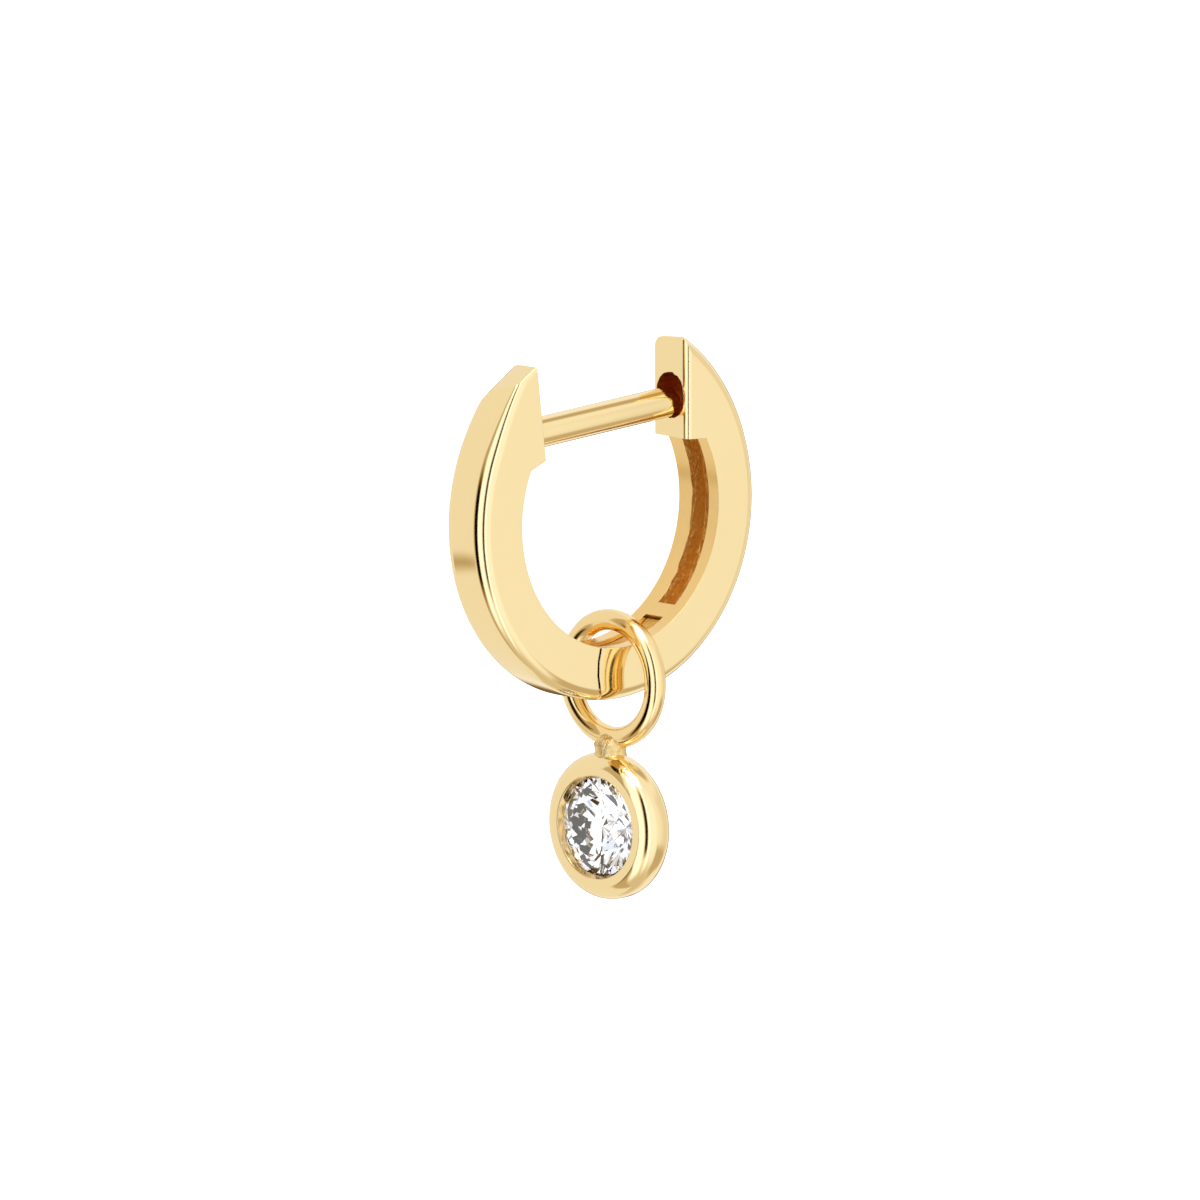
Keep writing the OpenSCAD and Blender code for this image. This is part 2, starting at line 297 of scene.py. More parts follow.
def line_to(bm, vertex, point):
    new = bmesh.ops.extrude_vert_indiv(bm, verts=[vertex])["verts"][0]
    new.co = point
    return new


def arc_by(bm, vertex, centre, degrees, step=ARC_STEP):
    """Sweeps an arc from a vertex about a centre of the side view, anticlockwise with X right and Z up."""
    swept = bmesh.ops.spin(
        bm, geom=[vertex], cent=centre, axis=(0, -1, 0), angle=math.radians(degrees),
        steps=max(1, round(abs(degrees) / step)),
    )
    return next(v for v in swept["geom_last"] if isinstance(v, bmesh.types.BMVert))


def arc_to(bm, vertex, centre, point, step=ARC_STEP):
    """Sweeps the shorter arc from a vertex to a point about a centre."""
    centre = Vector(centre)
    turn = (angle_of(point - centre) - angle_of(vertex.co - centre) + 180) % 360 - 180
    return arc_by(bm, vertex, centre, turn, step)


def close_up(bm):
    bmesh.ops.remove_doubles(bm, verts=bm.verts, dist=MERGED)


def fill(bm, edges):
    """Closes a loop of edges with one face."""
    return bmesh.ops.contextual_create(bm, geom=edges)["faces"][0]


def all_of(bm):
    return bm.verts[:] + bm.edges[:] + bm.faces[:]


def push(bm, faces, offset):
    """Extrudes faces by an offset, and gives the moved faces."""
    region = bmesh.ops.extrude_face_region(bm, geom=faces)["geom"]
    bmesh.ops.translate(bm, verts=[g for g in region if isinstance(g, bmesh.types.BMVert)], vec=offset)
    return [g for g in region if isinstance(g, bmesh.types.BMFace)]


def split(bm, geometry, point, normal):
    """Splits all that a plane crosses, and takes nothing away."""
    bmesh.ops.bisect_plane(bm, geom=geometry, plane_co=point, plane_no=normal, dist=ON_PLANE)


def spin_round(bm, steps):
    """Spins all that is drawn once round Z."""
    bmesh.ops.spin(
        bm, geom=bm.verts[:] + bm.edges[:], cent=ORIGIN, axis=(0, 0, 1), angle=math.tau, steps=steps,
        use_merge=True,
    )


# Finishing of a piece


def sharpness(edge):
    """Angle between the directions of an edge's two faces, in degrees."""
    return math.degrees(edge.calc_face_angle(0)) if len(edge.link_faces) == 2 else 0


def finish_piece(bm, name, place, materials, body, node, facetted=False):
    """Brings a drawn piece to its place in metres and makes it the object that stands for its CAD node."""
    bmesh.ops.recalc_face_normals(bm, faces=bm.faces)
    for edge in bm.edges:
        # The solder's lumps run into one another without a crease
        lumpy = all(face.material_index == SOLDER for face in edge.link_faces) and name == "Charm_setting"
        edge.smooth = lumpy or sharpness(edge) < CREASE_FROM
    for face in bm.faces:
        face.smooth = not facetted
    bmesh.ops.transform(bm, matrix=Matrix.Scale(MM, 4) @ place, verts=bm.verts)
    mesh = bpy.data.meshes.new(name)
    bm.to_mesh(mesh)
    bm.free()
    for material in materials:
        mesh.materials.append(material)
    piece = bpy.data.objects.new(name, mesh)
    bpy.context.scene.collection.objects.link(piece)
    flats = piece.modifiers.new("Flat faces stay flat", "WEIGHTED_NORMAL")
    flats.weight = FLAT_WEIGHT
    flats.keep_sharp = True
    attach(piece, body)
    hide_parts(node)


# Hoop


def end_normal(side, slope, turn):
    """Outward direction of an end face: side 1 is the front half's, -1 the back half's."""
    level = Vector((side * math.cos(math.radians(turn)), -side * math.sin(math.radians(turn)), 0))
    return Matrix.Rotation(math.radians(-side * slope), 3, "Y") @ level


def crown_of(x):
    """Shift of the crown's circle, for the half that lies on this side of the hoop's centre."""
    return BACK_CROWN if x > 0 else FRONT_CROWN


def tip_of(point, outward, lift=0):
    """Where an end face meets the outer face, in the middle of the band, and the outer face's direction."""
    crown = crown_of(point.x)
    centre = Vector((-math.copysign(crown, point.x), 0, 0))
    # Point of the end face's trace in the side view
    on_trace = Vector((point.x + point.y * outward.y / outward.x, 0, point.z))
    along = Vector((-outward.z, 0, outward.x)).normalized() * math.copysign(1, outward.x)
    offset = on_trace - centre
    sideways = offset.length_squared - offset.dot(along) ** 2
    rise = math.sqrt((HOOP_R + crown + lift) ** 2 - sideways) - offset.dot(along)
    tip = on_trace + along * rise
    return tip, tip - centre


def on_hoop(radius, radius_about_pin, side):
    """Where circles about the hinge pin and the hoop's centre cross: side -1 is in front of the pin."""
    spread = (radius ** 2 + MID_R ** 2 - radius_about_pin ** 2) / (2 * radius * MID_R)
    return at_angle(radius, angle_of((HINGE_X, 0, HINGE_Z)) + side * math.degrees(math.acos(spread)))


def shoulder_on_inner_face(foot, slope):
    """Where a shoulder's underside, sloping down from a foot on the end face, meets the inner face."""
    away = math.copysign(INNER_R, foot[0])
    far = Vector((foot[0] + away, foot[2] - INNER_R * tan(slope)))
    hits = intersect_line_sphere_2d(Vector((foot[0], foot[2])), far, Vector((0, 0)), INNER_R)
    hit = next(h for h in hits if h is not None)
    return Vector((hit[0], 0, hit[1]))


# Height under which a corner of the mesh belongs to the hoop's lower half
JUST_BELOW = -0.05


def cut_off(bm, point, outward):
    """Cuts off all of the hoop's upper half that lies beyond a plane and closes the cut."""
    upper = {v for v in bm.verts if v.co.z > JUST_BELOW}
    edges = {e for e in bm.edges if all(v in upper for v in e.verts)}
    faces = {f for f in bm.faces if all(v in upper for v in f.verts)}
    geometry = [*upper, *edges, *faces]
    cut = bmesh.ops.bisect_plane(
        bm, geom=geometry, plane_co=point, plane_no=outward, clear_outer=True, dist=ON_PLANE
    )
    rim = [g for g in cut["geom_cut"] if isinstance(g, bmesh.types.BMEdge)]
    return fill(bm, rim) if rim else None


def round_off(bm, corner, first_normal, last_normal, radius, cuts=EDGE_CUTS):
    """Rounds an edge that runs through a corner point between two faces, by cuts that touch one circle."""
    first_normal = Vector(first_normal).normalized()
    last_normal = Vector(last_normal).normalized()
    bisector = (first_normal + last_normal).normalized()
    centre = Vector(corner) - bisector * radius / bisector.dot(first_normal)
    for i in range(1, cuts + 1):
        normal = first_normal.slerp(last_normal, i / (cuts + 1))
        cut_off(bm, centre + normal * radius, normal)


def round_corner(bm, tip, outer_direction, side, radius):
    """Rounds the tip's outer corner on one side more than the rim: side 1 is the far one."""
    corner = tip + Vector((0, side * HALF_W, 0))
    round_off(bm, corner, (0, side, 0), outer_direction, radius, CORNER_CUTS)


def lift_share(y):
    """Share of the near rim's lift that a place across the band gets: none at the far side."""
    return 1 - ((y + HALF_W) / BAND_W) ** 2


def raise_near_rim(bm):
    """Lets the front half's near rim run out towards its tip, as its rounding shrinks, and lifts it there."""
    centre = Vector((FRONT_CROWN, 0, 0))
    crown_r = HOOP_R + FRONT_CROWN
    for vertex in bm.verts:
        out = Vector((vertex.co.x, 0, vertex.co.z)) - centre
        inwards = (crown_r - out.length) / RIM_ROUND
        if inwards > 1 + ALIKE or vertex.co.z < TAPER_FROM:
            continue
        share = min(1, (vertex.co.z - TAPER_FROM) / (TAPER_TO - TAPER_FROM))
        across = (vertex.co.y + HALF_W) / RIM_ROUND
        radius = RIM_ROUND
        if across < 1 + ALIKE:
            radius += share * (TAPERED_ROUND - RIM_ROUND)
            vertex.co.y = across * radius - HALF_W
        lift = TIP_LIFT * share ** 2 * lift_share(vertex.co.y)
        lifted = centre + out.normalized() * (crown_r - inwards * radius + lift)
        vertex.co.x, vertex.co.z = lifted.x, lifted.z


def halve_sides(bm):
    """Splits the flat sides level with the hoop's centre, so that an end face's cut spares the lower half."""
    split(bm, all_of(bm), ORIGIN, (0, 0, 1))


def at_side(vertex):
    """Whether a corner lies on one of the band's two flat sides."""
    return abs(abs(vertex.co.y) - HALF_W) < ALIKE


def on_outer_face(point):
    """Whether a point lies on the band's outer face, on its lower circle or its crown's."""
    crown = crown_of(point.x) if point.z > 0 else 0
    radius = math.hypot(abs(point.x) + crown, point.z) - crown
    return abs(radius - HOOP_R) < ALIKE


def round_rim(bm):
    """Rounds the band's two outer edges."""
    # Both ends of an edge that runs along the rim lie on the same side
    rim = [
        e for e in bm.edges
        if e.verts[0].co.y * e.verts[1].co.y > 0
        and all(at_side(v) and on_outer_face(v.co) for v in e.verts)
    ]
    bmesh.ops.bevel(
        bm, geom=rim, affect="EDGES", offset=RIM_ROUND, segments=RIM_SEGMENTS, profile=RIM_PROFILE,
        material=-1,
    )


# Angle up to which a half's band is first drawn, beyond its end face, the radius down to which it is squared
# off there, and how far its shoulder is drawn past the end face
SPARE_ANGLE = 74
SPARE_R = 2.4
SPARE = 0.9
# The seam's steps are longer than the rim's rounding, so that the rounding ends cleanly on it
SEAM_STEP = 12


def front_body(bm):
    """Front half's band: from the seam over the outer face to its spare end, its shoulder and back inside."""
    seam = SEAM_R + SEAM_GAP / 2
    foot = Vector((-FRONT_REACH + SPARE, 0, POST_Z - FRONT_DROP + SPARE * tan(FRONT_SHOULDER_SLOPE)))
    first = start(bm, on_hoop(HOOP_R, seam, -1))
    at = arc_to(bm, first, ORIGIN, Vector((-HOOP_R, 0, 0)))
    at = arc_by(bm, at, (FRONT_CROWN, 0, 0), -SPARE_ANGLE)
    at = line_to(bm, at, at_angle(SPARE_R, 180 - SPARE_ANGLE))
    at = line_to(bm, at, foot)
    at = line_to(bm, at, shoulder_on_inner_face(foot, FRONT_SHOULDER_SLOPE))
    at = arc_by(bm, at, ORIGIN, angle_of(on_hoop(INNER_R, seam, -1)) - angle_of(at.co) + 360)
    arc_to(bm, at, PIN, first.co, step=SEAM_STEP)
    close_up(bm)
    side = fill(bm, bm.edges[:])
    bmesh.ops.translate(bm, verts=bm.verts, vec=(0, -HALF_W, 0))
    push(bm, [side], (0, BAND_W, 0))
    bmesh.ops.recalc_face_normals(bm, faces=bm.faces)
    halve_sides(bm)
    round_rim(bm)
    split(bm, all_of(bm), ORIGIN, (0, 1, 0))
    raise_near_rim(bm)
    near_edge = Vector((-FRONT_REACH, -HALF_W, POST_Z))
    outward = end_normal(1, FRONT_SLOPE, FRONT_TURN)
    cut_off(bm, near_edge, outward)
    far_edge = near_edge + Vector((BAND_W * tan(FRONT_TURN), BAND_W, 0))
    tip, outer_direction = tip_of(Vector((far_edge.x, 0, POST_Z)), outward)
    round_corner(bm, tip, outer_direction, 1, FRONT_FAR_CORNER_ROUND)
    tip, outer_direction = tip_of(Vector((near_edge.x, 0, POST_Z)), outward, lift=TIP_LIFT)
    round_corner(bm, tip, outer_direction, -1, FRONT_NEAR_CORNER_ROUND)
    tip, outer_direction = tip_of(near_edge, outward, lift=TIP_LIFT * lift_share(0))
    outer_direction = outer_direction.normalized() + Vector((0, TIP_LIFT / BAND_W, 0))
    round_off(bm, tip, outward, outer_direction, FRONT_TIP_ROUND, FRONT_TIP_CUTS)


def tongue(bm):
    """Tongue of the front half: from inside the band to its round end about the pin."""
    outer = HOOP_R - TONGUE_SHY
    inner = INNER_R + TONGUE_SINK
    foot_angle = angle_of(on_hoop(MID_R, SEAM_R + TONGUE_ROOT, -1))
    first = start(bm, at_angle(outer, foot_angle))
    at = arc_to(bm, first, ORIGIN, on_hoop(outer, TONGUE_R, 1))
    at = arc_to(bm, at, PIN, on_hoop(inner, TONGUE_R, 1), step=TONGUE_STEP)
    at = arc_to(bm, at, ORIGIN, at_angle(inner, foot_angle))
    line_to(bm, at, first.co)
    close_up(bm)
    side = fill(bm, bm.edges[:])
    bmesh.ops.translate(bm, verts=bm.verts, vec=(0, -TONGUE_W / 2, 0))
    push(bm, [side], (0, TONGUE_W, 0))
    for face in bm.faces:
        face.material_index = UNPOLISHED_SHADED


def post(bm):
    """Ear post with its rounded tip, spun about its own axis."""
    first = start(bm, (0, 0, POST_FROM))
    at = line_to(bm, first, (POST_R, 0, POST_FROM))
    at = line_to(bm, at, (POST_R, 0, POST_TO - POST_TIP_ROUND))
    at = arc_by(bm, at, (POST_R - POST_TIP_ROUND, 0, POST_TO - POST_TIP_ROUND), 90, step=POST_TIP_STEP)
    line_to(bm, at, (0, 0, POST_TO))
    spin_round(bm, POST_SEGMENTS)
    close_up(bm)
    lay_down = Matrix.Translation((0, 0, POST_Z)) @ Matrix.Rotation(math.radians(90), 4, "Y")
    bmesh.ops.transform(bm, matrix=lay_down, verts=bm.verts)


def joined(draw_parts):
    """One mesh of several closed shells, each drawn on its own."""
    whole = bmesh.new()
    for draw in draw_parts:
        shell = bmesh.new()
        draw(shell)
        bmesh.ops.recalc_face_normals(shell, faces=shell.faces)
        scratch = bpy.data.meshes.new("shell")
        shell.to_mesh(scratch)
        shell.free()
        whole.from_mesh(scratch)
        bpy.data.meshes.remove(scratch)
    return whole


def middle_of(edge):
    return (edge.verts[0].co + edge.verts[1].co) / 2


def in_fork(edge):
    """Whether an edge of the back half's outline belongs to the fork alone."""
    from_pin = middle_of(edge) - PIN
    return from_pin.x < 0 or from_pin.length < SLOT_R


def on_slot_end(edge):
    """Whether an edge lies on the round end of the fork's slot."""
    from_pin = [v.co - PIN for v in edge.verts]
    return all(p.x > 0 and abs(math.hypot(p.x, p.z) - SLOT_R) < ALIKE for p in from_pin)


def back_body(bm):
    """Back half: its near side is raised in two layers, so that the fork keeps its slot, then mirrored."""
    seam = SEAM_R - SEAM_GAP / 2
    foot = Vector((BACK_REACH - SPARE / 2, 0, POST_Z - BACK_DROP + SPARE / 2 * tan(BACK_SHOULDER_SLOPE)))
    slot_inner = on_hoop(INNER_R, SLOT_R, 1)
    first = start(bm, on_hoop(HOOP_R, SLOT_R, 1))
    at = arc_to(bm, first, ORIGIN, Vector((HOOP_R, 0, 0)))
    at = arc_by(bm, at, (-BACK_CROWN, 0, 0), SPARE_ANGLE)
    at = line_to(bm, at, at_angle(SPARE_R, SPARE_ANGLE))
    at = line_to(bm, at, foot)
    at = line_to(bm, at, shoulder_on_inner_face(foot, BACK_SHOULDER_SLOPE))
    at = arc_to(bm, at, ORIGIN, at_angle(INNER_R, CHANNEL_FOOT))
    at = arc_to(bm, at, ORIGIN, slot_inner)
    slot_foot = arc_to(bm, at, PIN, first.co, step=SLOT_STEP)
    at = arc_to(bm, slot_foot, ORIGIN, on_hoop(HOOP_R, seam, -1))
    at = arc_to(bm, at, PIN, on_hoop(INNER_R, seam, -1), step=SEAM_STEP)
    arc_to(bm, at, ORIGIN, slot_inner)
    close_up(bm)
    cheek_edges = [e for e in bm.edges if in_fork(e)]
    main = fill(bm, [e for e in bm.edges if not in_fork(e) or on_slot_end(e)])
    cheek = fill(bm, cheek_edges)
    bmesh.ops.translate(bm, verts=bm.verts, vec=(0, -HALF_W, 0))
    raised = push(bm, [main, cheek], (0, HALF_W - SLOT_W / 2, 0))
    main = max(raised, key=lambda face: face.calc_area())
    middle = push(bm, [main], (0, SLOT_W / 2, 0))
    bmesh.ops.delete(bm, geom=[main] + middle, context="FACES_ONLY")
    bmesh.ops.mirror(bm, geom=all_of(bm), axis="Y")
    close_up(bm)
    bmesh.ops.recalc_face_normals(bm, faces=bm.faces)
    flush = [e for e in bm.edges if on_slot_end(e) and all(at_side(v) for v in e.verts)]
    bmesh.ops.dissolve_edges(bm, edges=flush, use_verts=True)
    halve_sides(bm)
    round_rim(bm)


def turn_end_face(bm):
    """Cuts the back half's end face, turned so that its far edge lies deeper, and rounds its edges."""
    outward = end_normal(-1, BACK_SLOPE, BACK_TURN)
    near_edge = Vector((BACK_REACH, -HALF_W, POST_Z))
    far_edge = near_edge + Vector((BAND_W * tan(BACK_TURN), BAND_W, 0))
    cut_off(bm, near_edge, outward)
    round_off(bm, far_edge, outward, (0, 1, 0), FAR_EDGE_ROUND)
    round_off(bm, near_edge, outward, (0, -1, 0), NEAR_EDGE_ROUND, NEAR_EDGE_CUTS)
    tip, outer_direction = tip_of(Vector((far_edge.x, 0, POST_Z)), outward)
    round_corner(bm, tip, outer_direction, 1, BACK_FAR_CORNER_ROUND)
    tip, outer_direction = tip_of(Vector((near_edge.x, 0, POST_Z)), outward)
    round_corner(bm, tip, outer_direction, -1, BACK_NEAR_CORNER_ROUND)
    tip, outer_direction = tip_of(near_edge, outward)
    round_off(bm, tip, outward, outer_direction, BACK_TIP_ROUND)


def on_inner_face(face):
    return all(abs(math.hypot(v.co.x, v.co.z) - INNER_R) < ALIKE for v in face.verts)


def cut_channel(bm):
    """Sinks the channel into the inner face, and leaves its floor and walls unpolished, in gold darkened as
    painted shade.
    """
    shoulder_foot = Vector((BACK_REACH, 0, POST_Z - BACK_DROP))
    top = angle_of(shoulder_on_inner_face(shoulder_foot, BACK_SHOULDER_SLOPE)) + PAST_SHOULDER

    def inside(face):
        return on_inner_face(face) and CHANNEL_FOOT < angle_of(face.calc_center_median()) < top

    for y in (CHANNEL_NEAR, CHANNEL_FAR):
        faces = [f for f in bm.faces if inside(f)]
        edges = {e for f in faces for e in f.edges}
        verts = {v for f in faces for v in f.verts}
        split(bm, [*verts, *edges, *faces], (0, y, 0), (0, 1, 0))
    for vertex in {v for f in bm.faces if inside(f) for v in f.verts if abs(v.co.y - CHANNEL_FAR) < MERGED}:
        vertex.co.y += CHANNEL_BURR * noise.noise(vertex.co * CHANNEL_BURR_RATE)
    mouth = [f for f in bm.faces if inside(f) and CHANNEL_NEAR < f.calc_center_median().y < CHANNEL_FAR]
    floor = push(bm, mouth, ORIGIN)
    bmesh.ops.delete(bm, geom=mouth, context="FACES")
    for vertex in {v for f in floor for v in f.verts}:
        away = Vector((vertex.co.x, 0, vertex.co.z)).normalized()
        vertex.co += away * CHANNEL_DEPTH
    # The channel's floor and walls get the rough gold whose darker colour is painted shade
    for face in {f for floor_face in floor for e in floor_face.edges for f in e.link_faces}:
        face.material_index = UNPOLISHED_SHADED


def drill_catch(bm):
    """Opens the end face round the catch hole and sinks the hole's wall and its bottom."""
    outward = end_normal(-1, BACK_SLOPE, BACK_TURN)
    face_point = Vector((BACK_REACH, -HALF_W, POST_Z))
    end = max((f for f in bm.faces if f.normal.dot(outward) > SAME_WAY), key=lambda f: f.calc_area())
    rim = bmesh.ops.create_circle(
        bm, segments=CATCH_SEGMENTS, radius=CATCH_R,
        matrix=Matrix.Translation((0, CATCH_Y, CATCH_Z)) @ Matrix.Rotation(math.radians(90), 4, "Y"),
    )["verts"]
    for vertex in rim:
        ragged = noise.noise(vertex.co * CATCH_RAGGED_RATE) * CATCH_RAGGED
        vertex.co.y += ragged * (vertex.co.y - CATCH_Y) / CATCH_R
        vertex.co.z += ragged * (vertex.co.z - CATCH_Z) / CATCH_R
        vertex.co.x -= (vertex.co - face_point).dot(outward) / outward.x
    rim_edges = list({e for v in rim for e in v.link_edges})
    bmesh.ops.triangle_fill(bm, edges=end.edges[:] + rim_edges, use_beauty=True, normal=outward)
    bmesh.ops.delete(bm, geom=[end], context="FACES_ONLY")
    walls = bmesh.ops.extrude_edge_only(bm, edges=rim_edges)["geom"]
    bottom = [g for g in walls if isinstance(g, bmesh.types.BMVert)]
    for vertex in bottom:
        vertex.co.x = BACK_REACH + CATCH_DEPTH
    wall_edges = [g for g in walls if isinstance(g, bmesh.types.BMEdge)]
    floor = fill(bm, [e for e in wall_edges if all(v in bottom for v in e.verts)])
    # The hole's wall and bottom get the darkest gold, painted shade of the hole
    for face in {f for v in floor.verts for f in v.link_faces}:
        face.material_index = DRILLED_SHADED


def back_half_shell(bm):
    """Back half: band, turned end face, channel, catch hole and the unpolished end of the fork's slot; the
    slot's end, the channel, the hole and the inner face get golds darkened as painted shade.
    """
    back_body(bm)
    turn_end_face(bm)
    cut_channel(bm)
    drill_catch(bm)
    # The slot's end and the inner face get golds whose darker colours are painted shade
    for face in bm.faces:
        if all(on_slot_end(e) for e in face.edges):
            face.material_index = UNPOLISHED_SHADED
        elif on_inner_face(face) and face.material_index != UNPOLISHED_SHADED:
            face.material_index = SATIN_SHADED


def hinge_pin(bm):
    """Hinge pin, lying across the band."""
    bmesh.ops.create_cone(
        bm, cap_ends=True, segments=PIN_SEGMENTS, radius1=PIN_R, radius2=PIN_R, depth=BAND_W - 2 * PIN_SINK,
        matrix=Matrix.Translation(PIN) @ Matrix.Rotation(math.radians(90), 4, "X"),
    )


# Charm


def jump_ring(bm):
    """Closed ring of round wire, standing across the front."""
    bmesh.ops.create_circle(
        bm, segments=WIRE_SEGMENTS, radius=WIRE_R,
        matrix=Matrix.Translation((RING_R, 0, 0)) @ Matrix.Rotation(math.radians(90), 4, "X"),
    )
    spin_round(bm, RING_STEPS)
    bmesh.ops.rotate(bm, verts=bm.verts, cent=ORIGIN, matrix=Matrix.Rotation(math.radians(90), 3, "Y"))
    for face in bm.faces:
        face.material_index = RING


def bezel(bm):
    """Bezel with its rounded rim, the bevelled lip round the stone, the stone's seat and the cup behind."""
    front_centre = Vector((RIM_MID_R, 0, RIM_FLAT / 2))
    back_centre = Vector((RIM_MID_R, 0, -RIM_FLAT / 2))
    seat_r = STONE_R + SEAT_GAP
    seat_foot = STONE_FORWARD - GIRDLE_T
    first = start(bm, (0, 0, -CUP_DEPTH))
    at = line_to(bm, first, (CUP_BACK_R, 0, -CUP_DEPTH))
    at = line_to(bm, at, back_centre + at_angle(RIM_R, CUP_JOIN))
    at = arc_to(bm, at, back_centre, back_centre + at_angle(RIM_R, BACK_TURNS_OUT), SECTION_STEP)
    at = arc_to(bm, at, back_centre, back_centre + at_angle(RIM_R, 0), SECTION_STEP)
    at = line_to(bm, at, front_centre + at_angle(RIM_R, 0))
    burnished_from = math.degrees(math.asin((BURNISHED_Z - front_centre.z) / RIM_R))
    at = arc_by(bm, at, front_centre, FLANK_FROM, SECTION_STEP)
    at = line_to(bm, at, front_centre + at_angle(RIM_R, FLANK_TO))
    at = arc_by(bm, at, front_centre, burnished_from - FLANK_TO, SECTION_STEP)
    at = line_to(bm, at, (LIP_R, 0, BURNISHED_Z))
    at = arc_by(bm, at, (LIP_R, 0, BURNISHED_Z - LIP_ROUND), LIP_TURN - 90, LIP_STEP)
    at = line_to(bm, at, (MOUTH_R, 0, MOUTH_Z))
    at = line_to(bm, at, (seat_r, 0, STONE_FORWARD + SEAT_GAP))
    at = line_to(bm, at, (seat_r, 0, seat_foot - SEAT_GAP))
    line_to(bm, at, (0, 0, seat_foot - STONE_R * tan(PAVILION_SLOPE) - SEAT_ROOM))
    spin_round(bm, BEZEL_STEPS)
    close_up(bm)
    for face in bm.faces:
        middle = face.calc_center_median()
        from_axis = math.hypot(middle.x, middle.y)
        if from_axis < seat_r and SEAT_ABOVE < middle.z < seat_foot:
            face.material_index = SEAT
        elif from_axis < LIP_R - LIP_FROM * LIP_ROUND and middle.z > seat_foot:
            face.material_index = LIP
    bmesh.ops.transform(bm, matrix=IN_BEZEL, verts=bm.verts)


def solder_neck(bm):
    """Lumpy neck of solder that joins the jump ring to the bezel."""
    reach = NECK_R + NECK_BULGE
    first = start(bm, (0, 0, -reach))
    at = arc_by(bm, first, ORIGIN, NECK_FOOT_TURN, SECTION_STEP)
    at = line_to(bm, at, (NECK_R + NECK_WAIST_FLARE, 0, -NECK_WAIST_Z))
    at = line_to(bm, at, (NECK_R, 0, 0))
    at = line_to(bm, at, (NECK_R + NECK_WAIST_FLARE, 0, NECK_WAIST_Z))
    at = line_to(bm, at, at_angle(reach, 90 - NECK_HEAD_TURN))
    arc_by(bm, at, ORIGIN, NECK_HEAD_TURN, SECTION_STEP)
    spin_round(bm, NECK_STEPS)
    close_up(bm)
    bmesh.ops.subdivide_edges(bm, edges=bm.edges, cuts=1)
    bmesh.ops.smooth_vert(
        bm, verts=bm.verts, factor=NECK_SMOOTHING, use_axis_x=True, use_axis_y=True, use_axis_z=True
    )
    for vertex in bm.verts:
        vertex.co *= 1 + NECK_LUMPS * noise.noise(vertex.co * LUMP_RATE)
    bmesh.ops.translate(bm, verts=bm.verts, vec=(-BEZEL_FORWARD / 2, 0, NECK_Z))
    for face in bm.faces:
        face.material_index = SOLDER


def brilliant(bm):
    """Round brilliant with its table up: the hull of its rings of corners, each facet made whole."""
    half_step = 180 / TABLE_SIDES
    # Share of a ring's radius at which the middles of its sides lie
    inset = math.cos(math.radians(half_step))
    table_r = STONE_R * TABLE_SHARE
    table_mid_r = table_r * inset
    star_r = table_mid_r + STAR_SHARE * (STONE_R - table_mid_r)
    lower_r = STONE_R * (1 - LOWER_SHARE)
    rings = [
        (TABLE_SIDES, table_r, 0, (STONE_R - table_r) * tan(CROWN_SLOPE)),
        (TABLE_SIDES, star_r, half_step, (STONE_R - star_r * inset) * tan(CROWN_SLOPE)),
        (2 * TABLE_SIDES, STONE_R, 0, 0),
        (2 * TABLE_SIDES, STONE_R, 0, -GIRDLE_T),
        (TABLE_SIDES, lower_r, half_step, -GIRDLE_T - (STONE_R - lower_r * inset) * tan(PAVILION_SLOPE)),
    ]
    for count, radius, turn, height in rings:
        place = Matrix.Translation((0, 0, height)) @ Matrix.Rotation(math.radians(turn), 4, "Z")
        bmesh.ops.create_circle(bm, segments=count, radius=radius, matrix=place)
    start(bm, (0, 0, -GIRDLE_T - STONE_R * tan(PAVILION_SLOPE)))
    bmesh.ops.convex_hull(bm, input=bm.verts, use_existing_faces=False)
    bmesh.ops.dissolve_limit(bm, angle_limit=math.radians(ONE_FACET), verts=bm.verts, edges=bm.edges)
    seated = IN_BEZEL @ Matrix.Translation((0, 0, STONE_FORWARD))
    bmesh.ops.transform(bm, matrix=seated, verts=bm.verts)


# Finishes


